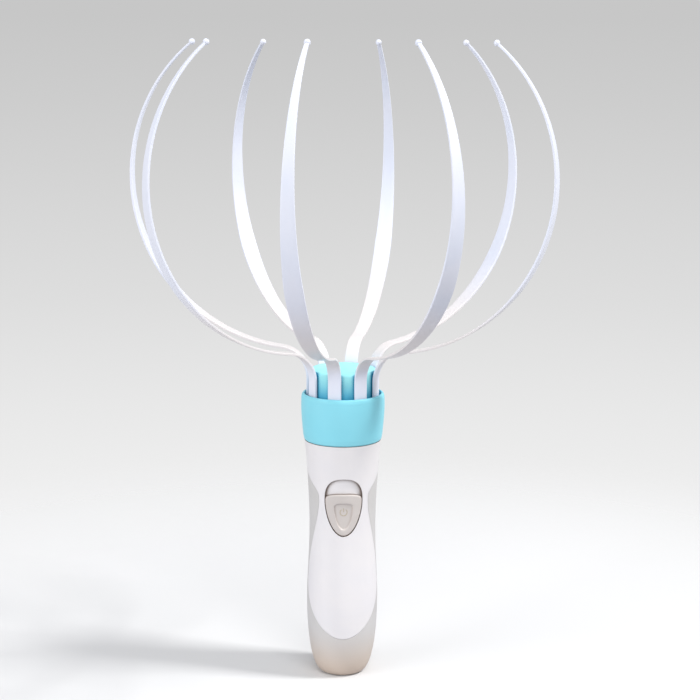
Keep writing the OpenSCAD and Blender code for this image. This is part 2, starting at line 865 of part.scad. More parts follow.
// Cross-section of the strap: a bar with three points on each rounded corner.
function bar(w, t) = let (c = t * 0.3)
    [for (q = [0:3], k = [0:2]) let (
            sx = (q == 0 || q == 3) ? 1 : -1,
            sy = q < 2 ? 1 : -1,
            a = 90 * q + 45 * k)
        [sx * (w / 2 - c) + c * cos(a), sy * (t / 2 - c) + c * sin(a)]];

claw_tip = claw_line[len(claw_line) - 1];

// Share of the sideways set that a claw has at height z, from its bend to its tip.
function set_at(z) = max(0, (z - bend_c[1]) / (claw_tip[1] - bend_c[1]));

module strap(aside) {
    n = len(claw_line) - 1;
    pts = [for (s = claw_line) for (p = bar(s[3], s[4]))
        [s[0] - p[1] * sin(s[2]), p[0] + aside * set_at(s[1]), s[1] + p[1] * cos(s[2])]];
    polyhedron(pts, swept_faces(n, 12), convexity = 6);
}

module at_claw(i) {
    rotate([0, 0, claw_start + i * 360 / claw_n + claw_turn[i] - 90]) children();
}

module claw(i) color(white) at_claw(i) {
    strap(claw_aside[i]);
    translate([leg_r, 0, pivot_z]) rotate([90, 0, 0])
        cylinder(r = eye_r, h = leg_w - 0.2, center = true);
    translate([claw_tip[0], claw_aside[i], claw_tip[1]]) sphere(d = ball_d);
}

front_shell();
rear_shell();
battery_door();
collar();
claw_hub();
claw(0);  // claw_1
claw(1);  // claw_2
claw(2);  // claw_3
claw(3);  // claw_4
claw(4);  // claw_5
claw(5);  // claw_6
claw(6);  // claw_7
claw(7);  // claw_8
power_button();
push_switch();
switch_plunger();
circuit_board();
board_parts();
motor_can();
motor_end_cap();
motor_shaft();
eccentric_weight();
motor_sleeve();
foam_pad();
motor_leads();
battery_cell();
battery_spring();
negative_contact();
positive_contact();
battery_lead();
case_screws();
hub_screw();
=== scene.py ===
"""Looks of the electric scalp massager: finishes, fine pieces, studio and camera."""

import logging
import math
from collections.abc import Callable, Sequence
from dataclasses import dataclass, field
from enum import Enum
from typing import ClassVar

import bmesh
import bpy
from mathutils import Matrix, Vector


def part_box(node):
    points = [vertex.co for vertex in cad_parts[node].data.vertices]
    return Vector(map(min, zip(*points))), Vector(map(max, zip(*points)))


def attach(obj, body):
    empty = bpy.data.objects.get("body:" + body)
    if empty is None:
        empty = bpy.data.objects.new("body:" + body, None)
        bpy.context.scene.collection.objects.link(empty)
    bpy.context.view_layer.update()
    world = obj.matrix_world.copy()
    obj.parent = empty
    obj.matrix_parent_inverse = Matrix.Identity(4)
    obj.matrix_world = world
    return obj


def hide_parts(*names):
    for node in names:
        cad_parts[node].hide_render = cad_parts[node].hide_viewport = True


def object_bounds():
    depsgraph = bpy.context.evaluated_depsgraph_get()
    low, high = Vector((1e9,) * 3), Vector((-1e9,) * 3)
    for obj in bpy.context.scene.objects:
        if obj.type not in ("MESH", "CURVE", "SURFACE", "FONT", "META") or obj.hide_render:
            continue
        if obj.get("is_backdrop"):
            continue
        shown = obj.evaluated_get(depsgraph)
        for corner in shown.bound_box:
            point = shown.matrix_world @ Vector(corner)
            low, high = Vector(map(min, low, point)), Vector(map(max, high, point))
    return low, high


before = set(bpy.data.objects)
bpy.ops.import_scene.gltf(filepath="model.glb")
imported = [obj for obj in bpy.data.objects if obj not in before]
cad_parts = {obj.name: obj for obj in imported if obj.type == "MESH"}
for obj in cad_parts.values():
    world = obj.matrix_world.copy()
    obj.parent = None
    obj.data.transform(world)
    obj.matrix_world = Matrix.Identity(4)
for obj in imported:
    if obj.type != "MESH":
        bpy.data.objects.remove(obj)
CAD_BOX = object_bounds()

logging.basicConfig(level=logging.INFO, format="%(name)s: %(message)s")
log = logging.getLogger("massager")

MM = 0.001
TURN = 2 * math.pi

Point = tuple[float, float, float]
Ring = Sequence[Point]
Colour = tuple[float, float, float, float]


def srgb(code: str) -> Colour:
    """Linear colour of a six-digit hex code as it shows on a screen.

    Args:
        code: Six hex digits, red first.

    Returns:
        Red, green, blue and an alpha of one.
    """
    parts = [int(code[i : i + 2], 16) / 255 for i in (0, 2, 4)]
    line = [p / 12.92 if p <= 0.04045 else ((p + 0.055) / 1.055) ** 2.4 for p in parts]
    return (line[0], line[1], line[2], 1.0)


def mix(a: float, b: float, t: float) -> float:
    """Value at share t of the way from a to b."""
    return a + (b - a) * t


def ease(t: float) -> float:
    """Smooth step from 0 to 1, flat outside."""
    t = min(1.0, max(0.0, t))
    return t * t * (3 - 2 * t)


# ---------------------------------------------------------------- shader maths


class Value:
    """What a shader socket carries. Python's operators work on it where it is a number."""

    def __init__(self, graph: "Graph", socket: bpy.types.NodeSocket | None) -> None:
        """Wraps a socket of a graph."""
        self.graph = graph
        self.socket = socket

    def _math(self, operation: str, first: "Value | float", second: "Value | float") -> "Value":
        """Adds one Math node.

        Args:
            operation: Name of the Math operation.
            first: Its first operand.
            second: Its second operand.

        Returns:
            The node's result.
        """
        return self.graph.node("ShaderNodeMath", {"operation": operation}, {0: first, 1: second})

    def __add__(self, other: "Value | float") -> "Value":
        """Sum."""
        return self._math("ADD", self, other)

    __radd__ = __add__

    def __sub__(self, other: "Value | float") -> "Value":
        """Difference."""
        return self._math("SUBTRACT", self, other)

    def __rsub__(self, other: "Value | float") -> "Value":
        """Reflected difference."""
        return self._math("SUBTRACT", other, self)

    def __mul__(self, other: "Value | float") -> "Value":
        """Product."""
        return self._math("MULTIPLY", self, other)

    __rmul__ = __mul__

    def band(self, low: float, high: float) -> "Value":
        """Smooth mask.

        Args:
            low: Value at which the mask is 0.
            high: Value at which the mask is 1. It may be the smaller of the two.

        Returns:
            The mask, from 0 to 1.
        """
        flip = high < low
        ends = {"From Min": min(low, high), "From Max": max(low, high)}
        sides = {"To Min": 1.0 if flip else 0.0, "To Max": 0.0 if flip else 1.0}
        settings = {"interpolation_type": "SMOOTHSTEP"}
        return self.graph.node("ShaderNodeMapRange", settings, {"Value": self, **ends, **sides})


class Graph:
    """The node tree of a material or of the world."""

    MIX_SHARE, MIX_FIRST, MIX_SECOND, MIX_RESULT = 0, 6, 7, 2

    def __init__(self, owner: bpy.types.Material | bpy.types.World) -> None:
        """Empties the tree of its owner.

        Args:
            owner: The material or world.
        """
        owner.use_nodes = True
        self.owner = owner
        self.tree = owner.node_tree
        self.tree.nodes.clear()

    def node(
        self,
        kind: str,
        settings: dict[str, object] | None = None,
        inputs: dict[str | int, object] | None = None,
        out: str | int = 0,
    ) -> Value:
        """Adds a node of any type.

        Args:
            kind: The node's type.
            settings: Its settings, which are set first. "stops" fills a colour ramp.
            inputs: Values or links of its sockets, by name or number.
            out: Name or number of the output to return.

        Returns:
            The chosen output, which is empty where a node has none.
        """
        made = self.tree.nodes.new(kind)
        for key, value in (settings or {}).items():
            if key == "stops":
                self._fill_ramp(made.color_ramp, value)
            else:
                setattr(made, key, value)
        for key, value in (inputs or {}).items():
            if isinstance(value, Value):
                self.tree.links.new(value.socket, made.inputs[key])
            else:
                made.inputs[key].default_value = value
        return Value(self, made.outputs[out] if len(made.outputs) else None)

    @staticmethod
    def _fill_ramp(ramp: bpy.types.ColorRamp, stops: Sequence[tuple[float, Colour]]) -> None:
        """Sets a ramp's stops.

        Args:
            ramp: The ramp.
            stops: Place and colour of each stop.
        """
        while len(ramp.elements) < len(stops):
            ramp.elements.new(1.0)
        for element, (place, colour) in zip(ramp.elements, stops):
            element.position = place
            element.color = colour

    def place(self, output: str = "Object") -> Value:
        """Place on the object in metres, which moves with the piece, or another coordinate."""
        return self.node("ShaderNodeTexCoord", out=output)

    def axis(self, name: str, place: Value | None = None) -> Value:
        """One coordinate, X, Y or Z, of a place, by default of the place on the object."""
        return self.node("ShaderNodeSeparateXYZ", inputs={0: place or self.place()}, out=name)

    def noise(self, size: float, detail: float = 2.0, stretch: Point = (1, 1, 1)) -> Value:
        """Noise from 0 to 1 over the surface.

        Args:
            size: Size of its grains in metres.
            detail: Octaves of finer grain.
            stretch: Factor along each axis by which the grains are squeezed.

        Returns:
            The noise.
        """
        squeezed = self.node(
            "ShaderNodeVectorMath", {"operation": "MULTIPLY"}, {0: self.place(), 1: stretch}
        )
        return self.node(
            "ShaderNodeTexNoise", None, {"Vector": squeezed, "Scale": 1 / size, "Detail": detail}
        )

    def openness(self, reach: float) -> Value:
        """How open the surface lies, from 0 deep in a fold to 1 on a plain face.

        Args:
            reach: How far in metres a neighbouring surface counts.

        Returns:
            The openness.
        """
        return self.node("ShaderNodeAmbientOcclusion", {"samples": 8}, {"Distance": reach}, "AO")

    def blend(self, share: Value | float, first: object, second: object) -> Value:
        """Mixes two colours.

        Args:
            share: Share of the second colour.
            first: A colour or a link.
            second: A colour or a link.

        Returns:
            The mixed colour.
        """
        inputs = {self.MIX_SHARE: share, self.MIX_FIRST: first, self.MIX_SECOND: second}
        return self.node("ShaderNodeMix", {"data_type": "RGBA"}, inputs, self.MIX_RESULT)

    def relief(self, height: Value, depth: float, edge: float = 0.0) -> Value:
        """Normal of a surface with a fine relief.

        Args:
            height: Height of the relief, from 0 to 1.
            depth: What a height of 1 means, in metres.
            edge: Radius in metres that a sharp edge seems rounded to, or 0.

        Returns:
            The normal.
        """
        inputs: dict[str | int, object] = {"Height": height, "Distance": depth}
        if edge:
            inputs["Normal"] = self.node("ShaderNodeBevel", {"samples": 6}, {"Radius": edge})
        return self.node("ShaderNodeBump", None, inputs)

    def plastic(self, **sockets: object) -> None:
        """Ends the tree in a Principled shader.

        Args:
            sockets: Values or links of its sockets, with _ for a space in their names.
        """
        inputs = {name.replace("_", " "): value for name, value in sockets.items()}
        shader = self.node("ShaderNodeBsdfPrincipled", None, inputs)
        self.node("ShaderNodeOutputMaterial", None, {"Surface": shader})


# ---------------------------------------------------------------- finishes


@dataclass(frozen=True)
class Surface:
    """A finish, by the name of its slot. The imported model's plain material stays apart from it."""

    name: str

    def paint(self, g: Graph) -> None:
        """Fills the material's tree.

        Args:
            g: The tree, which is empty.
        """
        raise NotImplementedError

    def material(self) -> bpy.types.Material:
        """Finds the full material, which is built on first use.

        Returns:
            The material.
        """
        full_name = f"{self.name}_finish"
        if full_name not in bpy.data.materials:
            self.paint(Graph(bpy.data.materials.new(full_name)))
        return bpy.data.materials[full_name]


@dataclass(frozen=True)
class Moulded(Surface):
    """Injection-moulded plastic: fine spark texture, faint flow clouds and rounded edges."""

    colour: str
    shade: str
    roughness: float = 0.36
    coat: float = 0.2
    edge: float = 0.3 * MM
    grain: float = 0.12 * MM
    grain_depth: float = 0.003 * MM
    # Painted light low on the part: warm bounce light on the grey shell, painted shade on the hub.
    painted_low_light: str | None = None
    painted_light_span: tuple[float, float] = (24 * MM, 0.0)
    # Painted shade: a darker colour laid into creases, as far as the occlusion reaches.
    crease_shade: str | None = None
    crease_shade_reach: float = 2 * MM
    crease_shade_span: tuple[float, float] = (0.97, 0.5)
    shine: float = 0.4
    cloud: float = 14 * MM
    cloud_span: tuple[float, float] = (0.35, 0.7)
    cloud_share: float = 0.6
    flow: float = 3 * MM
    flow_stretch: Point = (1, 1, 0.4)

    def paint(self, g: Graph) -> None:
        """Paints clouds, a painted light tint low down, painted shade in creases and a fine relief.

        Args:
            g: The material's empty tree.
        """
        cloud = g.noise(self.cloud, 3).band(*self.cloud_span)
        colour = g.blend(cloud * self.cloud_share, srgb(self.colour), srgb(self.shade))
        # Painted light by height: the part takes the low colour towards the bottom.
        if self.painted_low_light:
            colour = g.blend(g.axis("Z").band(*self.painted_light_span), colour, srgb(self.painted_low_light))
        # Painted shade in creases: the colour darkens where nearby surfaces close in.
        if self.crease_shade:
            closed = g.openness(self.crease_shade_reach).band(*self.crease_shade_span)
            colour = g.blend(closed, colour, srgb(self.crease_shade))
        grain = g.noise(self.grain, 2)
        flow = g.noise(self.flow, 2, self.flow_stretch)
        g.plastic(
            Base_Color=colour,
            Roughness=self.roughness + (flow - 0.5) * 0.08 + (grain - 0.5) * 0.06,
            Coat_Weight=self.coat,
            Coat_Roughness=0.18,
            Specular_IOR_Level=self.shine,
            Normal=g.relief(grain * 0.7 + flow * 0.3, self.grain_depth, self.edge),
        )


@dataclass(frozen=True)
class CoatedSpring(Surface):
    """Spring steel dipped in white lacquer, which pools a little along the strap."""

    colour: str
    pool: str
    painted_low_light: str
    painted_light_span: tuple[float, float] = (178 * MM, 152 * MM)
    painted_light_leg_span: tuple[float, float] = (134 * MM, 142 * MM)
    painted_light_share: float = 0.6
    roughness: float = 0.4
    run: float = 9 * MM
    peel: float = 1.4 * MM
    peel_depth: float = 0.003 * MM

    def paint(self, g: Graph) -> None:
        """Paints pooled lacquer, a painted warm bounce light on the arms above the bend, and a fine
        peel.

        Args:
            g: The material's empty tree.
        """
        runs = g.noise(self.run, 2, (1, 1, 0.3)).band(0.35, 0.75)
        peel = g.noise(self.peel, 1)
        height = g.axis("Z")
        # Painted warm bounce light: the strap turns warmer on the arms above the bend, between the
        # leg and mid arc.
        low = height.band(*self.painted_light_span) * height.band(*self.painted_light_leg_span)
        lacquer = g.blend(runs, srgb(self.colour), srgb(self.pool))
        g.plastic(
            Base_Color=g.blend(low * self.painted_light_share, lacquer, srgb(self.painted_low_light)),
            Roughness=self.roughness + (runs - 0.5) * 0.06 + (peel - 0.5) * 0.05,
            Coat_Weight=0.2,
            Coat_Roughness=0.2,
            Normal=g.relief(peel, self.peel_depth),
        )


@dataclass(frozen=True)
class BareMetal(Surface):
    """Drawn or turned metal with fine lines and dull patches."""

    colour: str
    dull: str
    roughness: float = 0.28
    along: Point = (1.0, 1.0, 12.0)
    line: float = 0.5 * MM
    line_depth: float = 0.004 * MM
    patch: float = 3 * MM
    edge: float = 0.1 * MM

    def paint(self, g: Graph) -> None:
        """Paints fine lines and dull patches.

        Args:
            g: The material's empty tree.
        """
        lines = g.noise(self.line, 2, self.along)
        patch = g.noise(self.patch, 3).band(0.4, 0.7)
        g.plastic(
            Base_Color=g.blend(patch * 0.6, srgb(self.colour), srgb(self.dull)),
            Metallic=1.0,
            Roughness=self.roughness + (lines - 0.5) * 0.12 + patch * 0.08,
            Normal=g.relief(lines, self.line_depth, self.edge),
        )


@dataclass(frozen=True)
class SoftFoam(Surface):
    """Rubber or foam, with pores of a chosen size."""

    colour: str
    painted_pore_shade: str
    pore: float
    depth: float
    roughness: float = 0.75

    def paint(self, g: Graph) -> None:
        """Paints pores, with painted shade in their pits.

        Args:
            g: The material's empty tree.
        """
        pores = g.noise(self.pore, 3)
        # Painted shade: the pits of the pores are darker.
        g.plastic(
            Base_Color=g.blend(pores.band(0.55, 0.35) * 0.7, srgb(self.colour), srgb(self.painted_pore_shade)),
            Roughness=self.roughness + (pores - 0.5) * 0.2,
            Normal=g.relief(pores, self.depth),
        )


@dataclass(frozen=True)
class BoardLacquer(Surface):
    """Green lacquer of a circuit board over a faint pattern of tracks."""

    colour: str
    track: str
    track_scale: float = 420.0
    weave: float = 0.4 * MM
    depth: float = 0.02 * MM

    def paint(self, g: Graph) -> None:
        """Paints tracks under lacquer.

        Args:
            g: The material's empty tree.
        """
        tracks = g.node(
            "ShaderNodeTexBrick",
            {"offset": 0.35, "squash": 1.0},
            {"Vector": g.place(), "Scale": self.track_scale, "Mortar Size": 0.08},
            out="Fac",
        )
        glass = g.noise(self.weave, 1)
        g.plastic(
            Base_Color=g.blend(tracks * 0.8, srgb(self.colour), srgb(self.track)),
            Roughness=0.3 + (glass - 0.5) * 0.1,
            Coat_Weight=0.3,
            Normal=g.relief(tracks * 0.7 + glass * 0.3, self.depth),
        )


@dataclass(frozen=True)
class CellWrap(Surface):
    """Plain shrink wrap of a cell: a dark sleeve, a coloured band and steel ends."""

    sleeve: str
    band: str
    steel: str
    band_share: float = 0.3
    band_edge: float = 0.05 * MM
    foot: float = 0.25 * MM
    shoulder: tuple[float, float] = (1.3 * MM, 1.1 * MM)
    wrinkle: float = 0.8 * MM
    wrinkle_depth: float = 0.02 * MM

    def paint(self, g: Graph) -> None:
        """Paints the sleeve, the band and the bare ends.

        Args:
            g: The material's empty tree.
        """
        low, high = (corner[2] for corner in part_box("battery_cell"))
        z = g.axis("Z")
        band_low = mix(high, low, self.band_share)
        band = z.band(band_low, band_low + self.band_edge)
        wrapped, bare = self.shoulder
        ends = z.band(low + self.foot, low) + z.band(high - wrapped, high - bare)
        wrinkles = g.noise(self.wrinkle, 2, (1, 1, 0.3))
        wrap = g.blend(band, srgb(self.sleeve), srgb(self.band))
        g.plastic(
            Base_Color=g.blend(ends, wrap, srgb(self.steel)),
            Metallic=ends,
            Roughness=0.3 + (wrinkles - 0.5) * 0.12,
            Normal=g.relief(wrinkles, self.wrinkle_depth),
        )


class Finish(Enum):
    """Every finish of the massager. The first value of each is also the record's slot."""

    # Painted shade darkens the white shell's creases, such as the scoop's top edge and the button's
    # gap.
    WHITE_SHELL = Moulded(
        "white_shell", "e8e5e5", "e4e2e4", 0.42, 0.08, crease_shade="a1958d", crease_shade_reach=2.4 * MM
    )
    # The grey shell turns warmer towards the bottom: painted warm bounce light from the floor.
    GREY_SHELL = Moulded("grey_shell", "ceccca", "c9c7c4", 0.45, 0.05, painted_low_light="d0bfae")
    BLUE_COLLAR = Moulded("blue_collar", "90ddec", "8adaea", 0.5, 0.04, 0.4 * MM, shine=0.25)
    # The hub darkens towards its foot, painted shade where the claws shade its wall, and in its
    # creases, painted shade too.
    BLUE_HUB = Moulded(
        "blue_hub", "a6f0f4", "9eecf2", 0.5, 0.04, 0.4 * MM,
        painted_low_light="46aed2", painted_light_span=(135 * MM, 123 * MM), crease_shade="2f94b8", shine=0.25,
    )
    # Painted shade darkens the button's creases, such as its pressed shield and its edge gap.
    BUTTON = Moulded(
        "button_white", "cec7c2", "c9c2bd", 0.45, 0.05, crease_shade="a8968b", crease_shade_reach=1 * MM
    )
    # Its last colour is a painted warm bounce light on the arms above the bend.
    CLAW = CoatedSpring("claw_white", "e7eaf6", "e2e7f5", "e8ddd2")
    SWITCH = Moulded("switch_black", "1d1d1f", "242426", 0.5, 0.0)
    PLUNGER = Moulded("switch_plunger", "c2b79e", "b9ad93", 0.5, 0.0)
    BOARD = BoardLacquer("board_green", "1c5a34", "2f7a4a")
    CHIP = Moulded("chip_black", "1b1b1d", "232325", 0.55, 0.0, 0.1 * MM)
    CAN = BareMetal("motor_steel", "c6c8ca", "a9abae")
    CAP = Moulded("motor_cap", "e4e3de", "dcdad3", 0.5, 0.0)
    SHAFT = BareMetal("shaft_steel", "d0d2d4", "b9bbbe", 0.18)
    WEIGHT = BareMetal("weight_brass", "b99a5b", "98793f", 0.38, (1.0, 1.0, 1.0))
    SLEEVE = SoftFoam("sleeve_rubber", "2a2a2c", "111112", 0.25 * MM, 0.01 * MM, 0.7)
    FOAM = SoftFoam("foam_grey", "6d6d70", "2b2b2d", 0.5 * MM, 0.12 * MM, 0.9)
    RED_LEAD = Moulded("lead_red", "b3261f", "a5211b", 0.35, 0.1)
    BLACK_LEAD = Moulded("lead_black", "1a1a1b", "212122", 0.35, 0.1)
    CELL = CellWrap("cell_wrap", "2b2f38", "a9742f", "c4c3bf")
    CONTACT = BareMetal("contact_nickel", "d3d0c8", "b8b4aa", 0.2)
    ZINC = BareMetal("screw_zinc", "c3c5c8", "a2a5a9", 0.3, (1.0, 6.0, 1.0))

    def material(self) -> bpy.types.Material:
        """The finish's material, built on first use."""
        return self.value.material()


# ---------------------------------------------------------------- meshes


def in_scene(name: str, data: bpy.types.ID) -> bpy.types.Object:
    """Adds an object to the scene.

    Args:
        name: Its name.
        data: Its mesh, lamp or camera data.

    Returns:
        The object.
    """
    added = bpy.data.objects.new(name, data)
    bpy.context.scene.collection.objects.link(added)
    return added


@dataclass
class Form:
    """A mesh under construction, made of closed tubes."""

    points: list[Point] = field(default_factory=list)
    faces: list[list[int]] = field(default_factory=list)

    def tube(self, rings: Sequence[Ring], place: Matrix | None = None) -> None:
        """Adds a tube through rings of equal count, with a cap at each end.

        Args:
            rings: Its rings, in order.
            place: Where it goes, if the rings are in a frame of their own.
        """
        first, around = len(self.points), len(rings[0])
        for ring in rings:
            self.points += [tuple(place @ Vector(p)) if place else p for p in ring]
        for i in range(len(rings) - 1):
            low = first + i * around
            for j in range(around):
                k = (j + 1) % around
                self.faces.append([low + j, low + k, low + around + k, low + around + j])
        last = first + (len(rings) - 1) * around
        self.faces.append([first + j for j in range(around - 1, -1, -1)])
        self.faces.append([last + j for j in range(around)])

    def piece(
        self, name: str, finish: Finish, body: str, stands_for: str | None = None, sharp: float = 40.0
    ) -> bpy.types.Object:
        """Makes the piece in the row frame.

        Args:
            name: Name of the piece.
            finish: Its finish, which is also the record's slot.
            body: Name of the body that it rides on.
            stands_for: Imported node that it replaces, if any.
            sharp: Angle in degrees above which an edge stays sharp.

        Returns:
            The piece, riding on its body.
        """
        mesh = bpy.data.meshes.new(name)
        mesh.from_pydata(self.points, [], self.faces)
        draft = bmesh.new()
        draft.from_mesh(mesh)
        bmesh.ops.recalc_face_normals(draft, faces=draft.faces)
        draft.to_mesh(mesh)
        draft.free()
        mesh.materials.append(finish.material())
        mesh.shade_smooth()
        mesh.set_sharp_from_angle(angle=math.radians(sharp))
        piece = in_scene(name, mesh)
        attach(piece, body)
        if stands_for:
            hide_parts(stands_for)
        log.info("%s: %d points in %s", name, len(mesh.vertices), finish.value.name)
        return piece


def turned(profile: Sequence[tuple[float, float]], around: int) -> list[list[Point]]:
    """Rings of a turned piece round the local Z axis.

    Args:
        profile: Radius and height of each ring.
        around: Points in each ring.

    Returns:
        The rings.
    """
    angles = [TURN * j / around for j in range(around)]
    return [[(r * math.cos(a), r * math.sin(a), h) for a in angles] for r, h in profile]


@dataclass(frozen=True)
class Screw:
    """A pan-head screw with a cross recess and a thread. Its head sits on local Z = 0."""

    head_radius: float
    head_height: float
    shank_radius: float
    length: float
    pitch: float = 0.8 * MM
    thread_depth: float = 0.2 * MM
    neck: float = 1.2 * MM
    point: float = 1.6 * MM
    arm_share: float = 0.62
    arm_width: float = 0.32 * MM
    arm_flat: float = 2.2
    wall_slope: float = 1.6
    recess_share: float = 0.6
    dome: float = 0.45
    rim: float = 0.08 * MM
    tip_radius: float = 0.15 * MM
    head_rings: int = 22
    rings_per_turn: int = 8
    around: int = 64

    def _recess(self, x: float, y: float) -> float:
        """Depth of the cross recess at a place on the head.

        Args:
            x: Place along one arm of the cross.
            y: Place along the other arm.

        Returns:
            The depth.
        """
        inside = 1 - math.hypot(x, y) / (self.arm_share * self.head_radius)
        arm = ease(self.arm_flat - self.wall_slope * min(abs(x), abs(y)) / self.arm_width)
        sink = min(1.0, max(0.0, self.wall_slope * inside))
        return self.recess_share * self.head_height * arm * sink

    def rings(self) -> list[list[Point]]:
        """Rings from the middle of the head's top to the point.

        Returns:
            The rings, in the screw's own frame.
        """
        head = []
        for i in range(1, self.head_rings + 1):
            share = i / self.head_rings
            top = self.head_height * (1 - self.dome * share**3)
            head.append((self.head_radius * share, top))
        rings = [
            [(x, y, z - self._recess(x, y)) for x, y, z in ring]
            for ring in turned(head, self.around)
        ]
        edge = [(self.head_radius, self.rim), (self.head_radius - self.rim, 0.0)]
        rings += turned(edge + [(self.shank_radius, 0.0)], self.around)
        count = round((self.length - self.neck) / self.pitch * self.rings_per_turn)
        for i in range(count + 1):
            depth = mix(self.neck, self.length, i / count)
            taper = min(1.0, (self.length - depth) / self.point)
            ring = []
            for j in range(self.around):
                way = (depth / self.pitch + j / self.around) % 1
                crest = 1 - abs(2 * way - 1)
                radius = self.shank_radius - self.thread_depth * (1 - crest)
                radius = mix(self.tip_radius, radius, taper)
                angle = TURN * j / self.around
                ring.append((radius * math.cos(angle), radius * math.sin(angle), -depth))
            rings.append(ring)
        return rings


class SubAssembly:
    """Pieces that are put together on the bench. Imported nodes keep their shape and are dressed."""

    dressed: ClassVar[dict[str, Finish]] = {}

    def dress(self) -> None:
        """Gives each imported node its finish."""
        for node, finish in self.dressed.items():
            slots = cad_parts[node].data.materials
            if not len(slots):
                slots.append(finish.material())
            for i in range(len(slots)):
                slots[i] = finish.material()
            log.info("%s dressed in %s", node, finish.value.name)

    def build(self) -> None:
        """Makes the sub-assembly's pieces and dresses the rest."""
        self.dress()


# ---------------------------------------------------------------- claws


@dataclass
class ClawCage(SubAssembly):
    """The ring of spring claws, each a strap swept along a leg, a bend and an arc."""

    first_turn: float = math.radians(-15)
    turns: tuple[float, ...] = (-0.5, -2.5, -9, 1, 0, 0, 4.5, -0.5)
    asides: tuple[float, ...] = (1, -4, 5, 1.5, -1, 2.5, 2, 0.5)
    leg_radius: float = 15 * MM
    pivot_height: float = 111.5 * MM
    bend_radius: float = 13 * MM
    arc_radius: float = 72.5 * MM
    cage_radius: float = 91 * MM
    cage_height: float = 216.3 * MM
    tip_angle: float = math.radians(51)
    leg_width: float = 5.7 * MM
    wide_width: float = 7.7 * MM
    wide_at: float = 0.4
    taper: float = 0.93
    tip_width: float = 1.7 * MM
    thickness: float = 1.0 * MM
    tip_thickness: float = 0.95 * MM
    edge_radius: float = 0.2 * MM
    bead_radius: float = 1.35 * MM
    bead_rings: int = 25
    bead_blend: int = 3
    bead_end: float = math.pi * 0.995
    eye_radius: float = 0.9 * MM
    eye_play: float = 0.1 * MM
    eye_bevel: float = 0.12 * MM
    eye_points: int = 32
    steps: tuple[int, int, int] = (14, 26, 150)
    corner_points: int = 5

    def __post_init__(self) -> None:
        """Works out the centres of the arcs and where the bead begins."""
        self.arc_centre = Vector((self.cage_radius - self.arc_radius, self.cage_height))
        across = self.leg_radius + self.bend_radius - self.arc_centre.x
        drop = math.sqrt((self.arc_radius + self.bend_radius) ** 2 - across**2)
        self.bend_centre = Vector((self.leg_radius + self.bend_radius, self.cage_height - drop))
        self.arc_start = -math.atan2(drop, across)
        self.neck = math.asin(0.5 * self.tip_width / self.bead_radius)
        self.tip_height = self.arc_centre.y + self.arc_radius * math.sin(self.tip_angle)

    def width(self, share: float) -> float:
        """Width of the strap.

        Args:
            share: Share of the main arc.

        Returns:
            The width there.
        """
        if share <= self.wide_at:
            return mix(self.leg_width, self.wide_width, ease(share / self.wide_at))
        past = (share - self.wide_at) / (1 - self.wide_at)
        return mix(self.wide_width, self.tip_width, past**self.taper)

    def set_at(self, height: float) -> float:
        """Share of the sideways set that a claw has at a height."""
        return max(0.0, (height - self.bend_centre.y) / (self.tip_height - self.bend_centre.y))

    def stations(self) -> list[tuple[float, float, float, float, float]]:
        """Sections of the strap up to its bead.

        Returns:
            Radius, height, slope, width and thickness of each section.
        """
        line, bend, arc = self.steps
        upright, leg = math.pi / 2, (self.leg_width, self.thickness)
        found = [
            (self.leg_radius, mix(self.pivot_height, self.bend_centre.y, i / line), upright, *leg)
            for i in range(line)
        ]
        for i in range(bend):
            a = -self.arc_start * i / bend
            radius = self.bend_centre.x - self.bend_radius * math.cos(a)
            height = self.bend_centre.y + self.bend_radius * math.sin(a)
            found.append((radius, height, upright - a, *leg))
        last = self.tip_angle - self.bead_radius * math.cos(self.neck) / self.arc_radius
        for i in range(arc + 1):
            a = mix(self.arc_start, last, i / arc)
            share = (a - self.arc_start) / (self.tip_angle - self.arc_start)
            radius = self.arc_centre.x + self.arc_radius * math.cos(a)
            height = self.arc_centre.y + self.arc_radius * math.sin(a)
            thick = mix(self.thickness, self.tip_thickness, share)
            found.append((radius, height, upright + a, self.width(share), thick))
        return found

    def section(self, width: float, thick: float) -> list[tuple[float, float]]:
        """Outline of the strap: a bar with rounded edges.

        Args:
            width: Width of the strap.
            thick: Thickness of the strap.

        Returns:
            Points across and through the strap, counterclockwise.
        """
        r = self.edge_radius
        outline = []
        for quarter in range(4):
            sx = 1 if quarter in (0, 3) else -1
            sy = 1 if quarter < 2 else -1
            for k in range(self.corner_points):
                a = math.radians(90 * quarter + 90 * k / (self.corner_points - 1))
                x = sx * (width / 2 - r) + r * math.cos(a)
                outline.append((x, sy * (thick / 2 - r) + r * math.sin(a)))
            if quarter in (0, 2):
                outline += [(sx * (width / 2 - r) * f, sy * thick / 2) for f in (0.5, 0.0, -0.5)]
        return outline

    def bead(self, width: float, thick: float) -> list[tuple[float, list[tuple[float, float]]]]:
        """Rings that close the strap in a round bead.

        Args:
            width: Width of the strap's last section.
            thick: Its thickness.

        Returns:
            For each ring its way past the last section, and its points across and through.
        """
        flat = self.section(width, thick)
        rings = []
        for i in range(1, self.bead_rings + 1):
            a = mix(self.neck, self.bead_end, i / self.bead_rings)
            r = self.bead_radius * math.sin(a)
            along = self.bead_radius * (math.cos(self.neck) - math.cos(a))
            blend = ease(i / self.bead_blend)
            ring = []
            for x, y in flat:
                turn = math.atan2(y, x)
                ring.append((mix(x, r * math.cos(turn), blend), mix(y, r * math.sin(turn), blend)))
            rings.append((along, ring))
        return rings

    def build_claw(self, number: int) -> None:
        """Builds one claw in place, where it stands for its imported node.

        Args:
            number: Its number, from 0.
        """
        even = TURN * number / len(self.turns)
        turn = self.first_turn + even + math.radians(self.turns[number]) - math.pi / 2
        aside = self.asides[number] * MM

